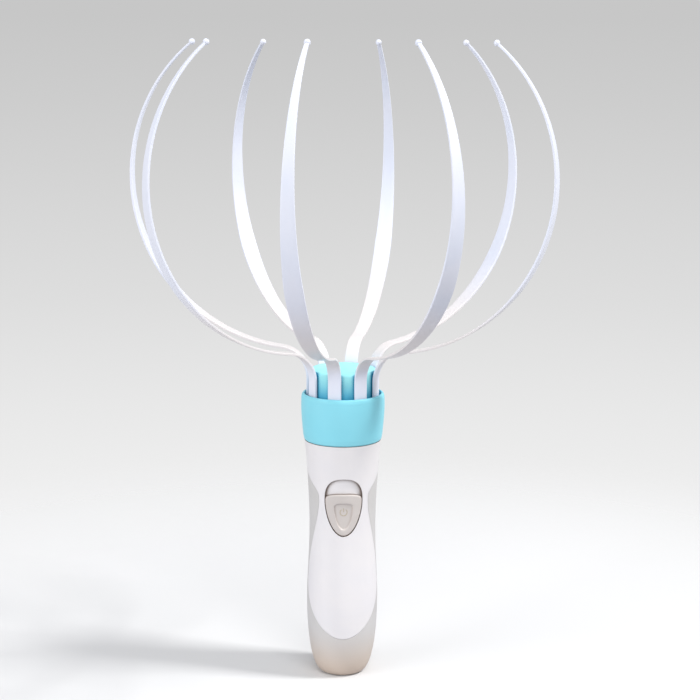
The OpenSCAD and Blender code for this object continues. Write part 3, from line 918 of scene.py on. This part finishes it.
        def put(radius: float, across: float, height: float, level: float) -> Point:
            """Point in the row frame.

            Args:
                radius: Its distance from the massager's axis.
                across: Its place across the strap.
                height: Its height.
                level: Height at which the strap's sideways set is taken.

            Returns:
                The point.
            """
            across += aside * self.set_at(level)
            x = radius * math.cos(turn) - across * math.sin(turn)
            return (x, radius * math.sin(turn) + across * math.cos(turn), height)

        rings = []
        for radius, height, slope, width, thick in self.stations():
            rise, run = math.cos(slope), math.sin(slope)
            ring = self.section(width, thick)
            rings.append([put(radius - y * run, x, height + y * rise, height) for x, y in ring])
        for along, ring in self.bead(width, thick):
            mid_radius, mid_height = radius + along * rise, height + along * run
            rings.append(
                [put(mid_radius - y * run, x, mid_height + y * rise, mid_height) for x, y in ring]
            )
        form = Form()
        form.tube(rings)
        half, bevel = self.leg_width / 2 - self.eye_play, self.eye_bevel
        pin = [(self.eye_radius - bevel, -half), (self.eye_radius, bevel - half)]
        pin += [(self.eye_radius, half - bevel), (self.eye_radius - bevel, half)]
        eye = turned(pin, self.eye_points)
        low = self.pivot_height
        form.tube([[put(self.leg_radius + x, z, low + y, low) for x, y, z in ring] for ring in eye])
        name = f"claw_{number + 1}"
        form.piece(f"spring_{name}", Finish.CLAW, name, name)

    def build(self) -> None:
        """Builds every claw."""
        for number in range(len(self.turns)):
            self.build_claw(number)


# ---------------------------------------------------------------- handle


@dataclass(frozen=True)
class HandleForm:
    """Outer face of the handle above its belly, round everywhere."""

    belly_radius: float = 15.4 * MM
    belly_height: float = 33 * MM
    waist_radius: float = 14.3 * MM
    waist_height: float = 66 * MM
    top_radius: float = 16.45 * MM
    height: float = 104.5 * MM
    flare_power: float = 1.75

    def radius(self, height: float) -> float:
        """Radius of the face.

        Args:
            height: A height above the belly.

        Returns:
            The radius there.
        """
        if height <= self.waist_height:
            share = (height - self.belly_height) / (self.waist_height - self.belly_height)
            return mix(self.belly_radius, self.waist_radius, ease(share))
        share = (height - self.waist_height) / (self.height - self.waist_height)
        return mix(self.waist_radius, self.top_radius, share**self.flare_power)

    def front(self, x: float, height: float, depth: float) -> Point:
        """Point on the front, at a depth under the face."""
        return (x, -math.sqrt((self.radius(height) - depth) ** 2 - x * x), height)


@dataclass
class Handle(SubAssembly):
    """The two shells, the battery door and the case screws."""

    screw: Screw = Screw(1.9 * MM, 1.6 * MM, 1.1 * MM, 12 * MM)
    seat: float = 6 * MM

    dressed: ClassVar[dict[str, Finish]] = {
        "front_shell": Finish.WHITE_SHELL,
        "rear_shell": Finish.GREY_SHELL,
        "battery_door": Finish.GREY_SHELL,
    }

    def build(self) -> None:
        """Dresses the shells and drives in the two screws, with their heads to the rear."""
        self.dress()
        low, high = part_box("case_screws")
        level = (low[2] + high[2]) / 2
        form = Form()
        for x in (low[0] + self.screw.head_radius, high[0] - self.screw.head_radius):
            place = Matrix.Translation((x, self.seat, level)) @ Matrix.Rotation(-TURN / 4, 4, "X")
            form.tube(self.screw.rings(), place)
        form.piece("cross_head_case_screws", Finish.ZINC, "handle", "case_screws", 30)


@dataclass
class Head(SubAssembly):
    """The collar, the hub and the screw that holds them together."""

    screw: Screw = Screw(3 * MM, 2 * MM, 1.5 * MM, 10 * MM, 1.0 * MM, 0.25 * MM, arm_width=0.45 * MM)

    dressed: ClassVar[dict[str, Finish]] = {
        "collar": Finish.BLUE_COLLAR,
        "claw_hub": Finish.BLUE_HUB,
    }

    def build(self) -> None:
        """Dresses the collar and hub, and drives the screw up into the hub."""
        self.dress()
        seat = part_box("hub_screw")[0][2] + self.screw.head_height
        form = Form()
        place = Matrix.Translation((0, 0, seat)) @ Matrix.Rotation(TURN / 2, 4, "X")
        form.tube(self.screw.rings(), place)
        form.piece("cross_head_hub_screw", Finish.ZINC, "handle", "hub_screw", 30)


# ---------------------------------------------------------------- power switch


@dataclass
class PowerSwitch(SubAssembly):
    """The shield-shaped button with its sign, the push switch and the circuit board."""

    form: HandleForm = HandleForm()
    width: float = 16.2 * MM
    low: float = 64.6 * MM
    middle: float = 80.5 * MM
    top: float = 83.4 * MM
    gap: float = 0.3 * MM
    top_gap: float = 0.12 * MM
    squareness: float = 2.6
    point_power: float = 1.8
    face_sink: float = 0.1 * MM
    edge: float = 0.55 * MM
    edge_share: float = 0.07
    dish_depth: float = 0.6 * MM
    dish_drop: float = 0.6 * MM
    dish_shares: tuple[float, float] = (0.46, 0.53)
    dish_stretch: float = 1.25
    dish_fade: float = 0.4
    dish_rings: int = 10
    edge_rings: int = 8
    centre_share: float = 0.03
    wing_front: float = 2.15 * MM
    back: float = 2.95 * MM
    wing_width: float = 1 * MM
    wing_step: float = 0.01 * MM
    wing_low_clear: float = 3 * MM
    wing_low_run: float = 3 * MM
    wing_top_clear: float = 1 * MM
    wing_top_run: float = 2 * MM
    stem_radius: float = 1.4 * MM
    stem_root: float = 0.3 * MM
    stem_bevel: float = 0.15 * MM
    sign_height: float = 75.4 * MM
    sign_radius: float = 1.5 * MM
    sign_line: float = 0.42 * MM
    sign_gap: float = math.radians(38)
    sign_bar: tuple[float, float] = (0.15, 1.15)
    sign_foot: float = 0.05 * MM
    sign_rise: float = 0.04 * MM
    sign_top_share: float = 0.32
    chip_half: float = 2.2 * MM
    leg_pitch: float = 0.9 * MM
    leg_half: float = 0.15 * MM
    leg_thick: float = 0.12 * MM
    leg_lean: float = 0.4
    legs_a_side: int = 4
    around: int = 160

    dressed: ClassVar[dict[str, Finish]] = {
        "push_switch": Finish.SWITCH,
        "switch_plunger": Finish.PLUNGER,
        "circuit_board": Finish.BOARD,
        "board_parts": Finish.CHIP,
    }

    def outline(self, way: float, grow: float) -> tuple[float, float]:
        """Point of the shield's outline.

        Args:
            way: Share of the way round, from the right end of the widest line over the top.
            grow: How far outside the pocket's outline it lies.

        Returns:
            The point's place across and its height.
        """
        half = self.width / 2 + grow
        if way <= 0.5:
            c, s, e = math.cos(TURN * way), max(0.0, math.sin(TURN * way)), 2 / self.squareness
            height = self.middle + (self.top - self.middle + grow) * s**e
            return math.copysign(half * abs(c) ** e, c), height
        t = math.sin(math.pi * (2 * way - 1))
        side = -half if way < 0.75 else half
        height = self.middle - (self.middle - self.low + grow) * t
        return side * math.sqrt(max(0.0, 1 - t**self.point_power)), height

    def ring(self, share: float, depth: float, grow: Callable[[float], float]) -> list[Point]:
        """Ring of the button, a shield within the outline.

        Args:
            share: Size of the ring against the outline.
            depth: Its depth under the handle's face.
            grow: How far the outline is grown at a height.

        Returns:
            The ring's points.
        """
        centre = (self.low + self.top) / 2
        pressed = 1 - ease((share - self.dish_shares[1]) / self.dish_fade)
        tall = share * mix(1.0, self.dish_stretch, pressed)
        points = []
        for j in range(self.around):
            z = self.outline(j / self.around, -self.gap)[1]
            x_out, z_out = self.outline(j / self.around, grow(z))
            z_ring = centre - self.dish_drop * pressed + tall * (z_out - centre)
            points.append(self.form.front(share * x_out, z_ring, depth))
        return points

    def plain_grow(self, height: float) -> float:
        """The gap between the button and its pocket narrows towards the top."""
        return -mix(self.gap, self.top_gap, ease((height - self.low) / (self.top - self.low)))

    def wing_grow(self, height: float) -> float:
        """The wings reach past the pocket at the sides, and clear the posts and bosses.

        Args:
            height: A height on the button.

        Returns:
            How far the wings' outline is grown there.
        """
        low_end = ease((height - self.low - self.wing_low_clear) / self.wing_low_run)
        top_end = ease((self.top - self.wing_top_clear - height) / self.wing_top_run)
        return mix(-self.gap, self.wing_width, low_end * top_end)

    def build_cap(self) -> None:
        """Makes the button: a face with a pressed shield and soft edges, two wings and a stem."""
        floor_end, face_start = self.dish_shares
        floor = self.face_sink + self.dish_depth
        profile = [(s * floor_end, floor) for s in (self.centre_share, 0.25, 0.5, 0.75)]
        for i in range(self.dish_rings + 1):
            t = i / self.dish_rings
            profile.append((mix(floor_end, face_start, t), mix(floor, self.face_sink, ease(t))))
        flat_end = 1 - self.edge_share
        profile += [(mix(face_start, flat_end, f), self.face_sink) for f in (0.25, 0.5, 0.75)]
        for i in range(self.edge_rings + 1):
            a = TURN / 4 * i / self.edge_rings
            s = 1 - self.edge_share * (1 - math.sin(a))
            profile.append((s, self.face_sink + self.edge * (1 - math.cos(a))))
        profile += [(1.0, mix(self.edge, self.back, 0.5)), (1.0, self.back), (0.5, self.back)]
        profile.append((self.centre_share, self.back))
        cap = Form()
        cap.tube([self.ring(s, d, self.plain_grow) for s, d in profile])
        wings = [(0.5, self.wing_front), (1.0, self.wing_front), (1.0, self.back), (0.5, self.back)]
        cap.tube([self.ring(s, d + self.wing_step, self.wing_grow) for s, d in wings])
        centre = (self.low + self.top) / 2
        stem_start = self.form.front(0, centre, self.back - self.stem_root)[1]
        stem_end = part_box("switch_plunger")[0][1]
        r, bevel = self.stem_radius, self.stem_bevel
        rings = turned([(r, stem_start), (r, stem_end - bevel), (r - bevel, stem_end)], 32)
        cap.tube([[(x, z, centre + y) for x, y, z in ring] for ring in rings])
        cap.piece("button_cap", Finish.BUTTON, "button", "power_button", 50)

    def build_sign(self) -> None:
        """Makes the plain on-off sign in the pressed shield: an open ring and a bar."""
        floor = self.face_sink + self.dish_depth
        foot, crown = floor + self.sign_foot, floor - self.sign_rise
        top = self.sign_top_share
        section = ((-0.5, foot), (0.5, foot), (top, crown), (-top, crown))
        arc_steps, bar_steps = 48, 8
        arc = []
        for i in range(arc_steps + 1):
            a = mix(self.sign_gap, TURN - self.sign_gap, i / arc_steps)
            arc.append((self.sign_radius * math.sin(a), self.sign_radius * math.cos(a)))
        shares = [mix(*self.sign_bar, i / bar_steps) for i in range(bar_steps + 1)]
        bar = [(0.0, share * self.sign_radius) for share in shares]
        form = Form()
        for path in (arc, bar):
            rings = []
            for i, (x, z) in enumerate(path):
                ahead, behind = path[min(i + 1, len(path) - 1)], path[max(i - 1, 0)]
                way = Vector((ahead[0] - behind[0], ahead[1] - behind[1])).normalized()
                ring = []
                for across, depth in section:
                    x_side = x - way.y * across * self.sign_line
                    z_side = self.sign_height + z + way.x * across * self.sign_line
                    ring.append(self.form.front(x_side, z_side, depth))
                rings.append(ring)
            form.tube(rings)
        form.piece("on_off_sign", Finish.PLUNGER, "button")

    def build_legs(self) -> None:
        """Solders the chip to the board with four bent legs on each side."""
        board_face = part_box("circuit_board")[0][1]
        low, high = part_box("board_parts")
        middle = (low[2] + high[2]) / 2
        # Millimetres out from the chip's side, and up from the board, along a leg.
        bend = [(-0.05, 0.6), (0.15, 0.6), (0.25, 0.5), (0.3, 0.12), (0.38, 0.06), (0.55, 0.06)]
        form = Form()
        for side in (-1, 1):
            for k in range(self.legs_a_side):
                z = middle + (k - (self.legs_a_side - 1) / 2) * self.leg_pitch
                low_z, high_z = z - self.leg_half, z + self.leg_half
                rings = []
                for out, rise in bend:
                    x = side * (self.chip_half + out * MM)
                    y = board_face - rise * MM
                    front = (x, y - self.leg_thick / 2)
                    rear = (x + side * self.leg_thick * self.leg_lean, y + self.leg_thick / 2)
                    rings.append([(*front, low_z), (*rear, low_z), (*rear, high_z), (*front, high_z)])
                form.tube(rings)
        form.piece("chip_legs", Finish.CONTACT, "handle", sharp=30)

    def build(self) -> None:
        """Makes the button, its sign and the chip's legs, and dresses the rest."""
        self.dress()
        self.build_cap()
        self.build_sign()
        self.build_legs()


# ---------------------------------------------------------------- motor and battery


@dataclass
class MotorUnit(SubAssembly):
    """The vibration motor with its weight, sleeve, pad and leads."""

    lead_radius: float = 0.6 * MM
    core_radius: float = 0.26 * MM
    solder_radius: float = 0.5 * MM
    bare: float = 0.6 * MM
    bevel: float = 0.08 * MM
    solder_end: float = 0.15 * MM
    solder_taper: float = 0.7
    core_start: float = 0.35 * MM
    around: int = 24

    dressed: ClassVar[dict[str, Finish]] = {
        "motor_can": Finish.CAN,
        "motor_end_cap": Finish.CAP,
        "motor_shaft": Finish.SHAFT,
        "eccentric_weight": Finish.WEIGHT,
        "motor_sleeve": Finish.SLEEVE,
        "foam_pad": Finish.FOAM,
    }

    def build(self) -> None:
        """Dresses the motor and runs two insulated leads to its terminals."""
        self.dress()
        low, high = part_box("motor_leads")
        level = (low[2] + high[2]) / 2
        start, end = low[1], high[1]
        first, last = start + self.bare, end - self.bare
        blob = self.solder_radius
        solder = [(blob, start), (blob * self.solder_taper, start + self.solder_end)]
        core = [(self.core_radius, start + self.core_start), (self.core_radius, first)]
        sleeve = [
            (self.lead_radius - self.bevel, first),
            (self.lead_radius, first + self.bevel),
            (self.lead_radius, last - self.bevel),
            (self.lead_radius - self.bevel, last),
        ]
        tip = [(self.core_radius, last), (self.core_radius, end)]
        form = Form()
        for x in (low[0] + self.lead_radius, high[0] - self.lead_radius):
            rings = turned(solder + core + sleeve + tip, self.around)
            form.tube([[(x + a, z, level + b) for a, b, z in ring] for ring in rings])
        form.piece("insulated_motor_leads", Finish.RED_LEAD, "handle", "motor_leads")


@dataclass
class BatteryBay(SubAssembly):
    """The cell with its contacts and the lead to the board."""

    wire_radius: float = 0.4 * MM
    low_radius: float = 4.2 * MM
    top_radius: float = 2.6 * MM
    turns: float = 4.0
    flat_share: float = 0.12
    steps_per_turn: int = 40
    sides: int = 14

    dressed: ClassVar[dict[str, Finish]] = {
        "battery_cell": Finish.CELL,
        "negative_contact": Finish.CONTACT,
        "positive_contact": Finish.CONTACT,
        "battery_lead": Finish.BLACK_LEAD,
    }

    def build(self) -> None:
        """Dresses the cell and winds the contact spring, with its end turns laid flat."""
        self.dress()
        low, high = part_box("battery_spring")
        bottom, top = low[2] + self.wire_radius, high[2] - self.wire_radius
        count = round(self.turns * self.steps_per_turn)
        rings = []
        for i in range(count + 1):
            share = i / count
            a = TURN * self.turns * share
            climb = min(1.0, max(0.0, (share - self.flat_share) / (1 - 2 * self.flat_share)))
            radius, height = mix(self.low_radius, self.top_radius, share), mix(bottom, top, climb)
            ring = []
            for j in range(self.sides):
                b = TURN * j / self.sides
                r = radius + self.wire_radius * math.cos(b)
                z = height + self.wire_radius * math.sin(b)
                ring.append((r * math.cos(a), r * math.sin(a), z))
            rings.append(ring)
        form = Form()
        form.tube(rings)
        form.piece("wound_contact_spring", Finish.CONTACT, "handle", "battery_spring")


# ---------------------------------------------------------------- studio


@dataclass(frozen=True)
class Softbox:
    """A soft lamp aimed at a point."""

    name: str
    place: Point
    aim: Point
    size: tuple[float, float]
    power: float
    colour: Point = (1.0, 1.0, 1.0)

    def build(self) -> None:
        """Adds the lamp."""
        light = bpy.data.lights.new(self.name, "AREA")
        light.shape = "RECTANGLE"
        light.size, light.size_y = self.size
        light.energy = self.power
        light.color = self.colour
        lamp = in_scene(self.name, light)
        lamp.location = self.place
        lamp.rotation_mode = "QUATERNION"
        lamp.rotation_quaternion = (Vector(self.aim) - Vector(self.place)).to_track_quat("-Z", "Y")


@dataclass
class Studio:
    """Floor, room, lamps and camera."""

    eye_distance: float = 700 * MM
    eye_height: float = 273.6 * MM
    azimuth: float = math.radians(-2)
    pitch: float = math.radians(10.54)
    yaw: float = math.radians(-0.24)
    roll: float = math.radians(0.28)
    focal_pixels: float = 1666.0
    picture: float = 700.0
    sensor: float = 36.0
    floor_reach: float = 0.8
    floor_fade: tuple[float, float] = (0.14, 0.42)
    floor_shown: str = "fcfcfc"
    floor_lit: float = 0.97
    floor_albedo: float = 0.75
    floor_bounce: str = "bdbdc2"
    room_strength: float = 0.62
    room_span: tuple[float, float] = (-0.35, 0.25)
    room_low: str = "e0dedd"
    room_high: str = "f0f1f5"
    backdrop: tuple[tuple[float, str], ...] = (
        (-0.37, "fdfdfd"),
        (-0.325, "f7f7f7"),
        (-0.27, "f0f0f0"),
        (-0.212, "e8e8e8"),
        (-0.153, "dedede"),
        (-0.094, "d6d6d6"),
        (-0.035, "cdcdcd"),
        (0.013, "c7c7c7"),
    )
    lamps: tuple[Softbox, ...] = (
        Softbox("key", (1.7, -0.4, 2.05), (0, 0, 0.1), (0.45, 0.45), 47.0),
        Softbox("front", (0.5, -2.0, 2.1), (0, 0, 0.1), (1.6, 1.0), 25.0),
        Softbox("left", (-2.0, -1.2, 0.7), (0, 0, 0.16), (1.4, 1.4), 26.0, (0.97, 0.98, 1.0)),
    )

    def build_camera(self) -> None:
        """Puts the camera where the picture was taken from."""
        data = bpy.data.cameras.new("camera")
        data.sensor_width = self.sensor
        data.lens = self.sensor * self.focal_pixels / self.picture
        camera = in_scene("camera", data)
        x, y = math.sin(self.azimuth), -math.cos(self.azimuth)
        camera.location = (self.eye_distance * x, self.eye_distance * y, self.eye_height)
        heading = self.azimuth + self.yaw
        flat = math.cos(self.pitch)
        forward = Vector((-math.sin(heading) * flat, math.cos(heading) * flat, -math.sin(self.pitch)))
        level = forward.to_track_quat("-Z", "Y").to_matrix().to_4x4()
        camera.rotation_mode = "QUATERNION"
        camera.rotation_quaternion = (level @ Matrix.Rotation(self.roll, 4, "Z")).to_quaternion()
        bpy.context.scene.camera = camera

    def shown_rays(self, g: Graph) -> Value:
        """Tells the rays that show the background from those that only light.

        Args:
            g: The tree that asks.

        Returns:
            One for a ray that comes straight, by gloss or through glass, and else 0.
        """
        kinds = ("Is Camera Ray", "Is Glossy Ray", "Is Transmission Ray")
        straight, glossy, through = (g.node("ShaderNodeLightPath", out=kind) for kind in kinds)
        return straight + glossy + through

    def build_floor(self) -> None:
        """Lays a pale floor that keeps the shadow and fades into the backdrop."""
        r = self.floor_reach
        mesh = bpy.data.meshes.new("floor")
        mesh.from_pydata([(-r, -r, 0), (r, -r, 0), (r, r, 0), (-r, r, 0)], [], [(0, 1, 2, 3)])
        floor = in_scene("floor", mesh)
        g = Graph(bpy.data.materials.new("floor"))
        away = g.node("ShaderNodeVectorMath", {"operation": "LENGTH"}, {0: g.place()}, out="Value")
        shown = srgb(self.floor_shown)
        glow = (*(part - self.floor_lit for part in shown[:3]), 1.0)
        grey = (self.floor_albedo,) * 3 + (1.0,)
        seen = g.node("ShaderNodeLightPath", out="Is Camera Ray")
        colour = g.blend(seen, srgb(self.floor_bounce), grey)
        emission = g.node("ShaderNodeEmission", None, {"Color": glow, "Strength": self.shown_rays(g)})
        diffuse = g.node("ShaderNodeBsdfDiffuse", None, {"Color": colour})
        both = g.node("ShaderNodeAddShader", None, {0: emission, 1: diffuse})
        clear = g.node("ShaderNodeBsdfTransparent")
        near, far = self.floor_fade
        surface = g.node("ShaderNodeMixShader", None, {0: away.band(near, far), 1: both, 2: clear})
        g.node("ShaderNodeOutputMaterial", None, {"Surface": surface})
        mesh.materials.append(g.owner)
        floor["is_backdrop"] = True

    def build_room(self) -> None:
        """Sets the even light of the room, and the backdrop that shows."""
        world = bpy.data.worlds.new("room")
        bpy.context.scene.world = world
        g = Graph(world)
        rise = g.axis("Z", g.place("Generated"))
        low, high = self.backdrop[0][0], self.backdrop[-1][0]
        stops = [((z - low) / (high - low), srgb(code)) for z, code in self.backdrop]
        share = (rise - low) * (1 / (high - low))
        shade = g.node("ShaderNodeValToRGB", {"stops": stops}, {0: share})
        sky = g.blend(rise.band(*self.room_span), srgb(self.room_low), srgb(self.room_high))
        light = g.node("ShaderNodeBackground", None, {"Color": sky, "Strength": self.room_strength})
        shown = g.node("ShaderNodeBackground", None, {"Color": shade})
        surface = g.node("ShaderNodeMixShader", None, {0: self.shown_rays(g), 1: light, 2: shown})
        g.node("ShaderNodeOutputWorld", None, {"Surface": surface})

    def build(self) -> None:
        """Builds the whole studio."""
        self.build_camera()
        self.build_floor()
        self.build_room()
        for lamp in self.lamps:
            lamp.build()
        bpy.context.scene.view_settings.view_transform = "Standard"
        log.info("studio with %d lamps", len(self.lamps))


def main() -> None:
    """Builds the massager's looks in order and works out its bounds."""
    Studio().build()
    for part in (ClawCage(), Handle(), Head(), PowerSwitch(), MotorUnit(), BatteryBay()):
        part.build()
        log.info("%s done", type(part).__name__)
    boxes = [[list(corner) for corner in box] for box in (CAD_BOX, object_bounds())]


if __name__ == "__main__":
    main()
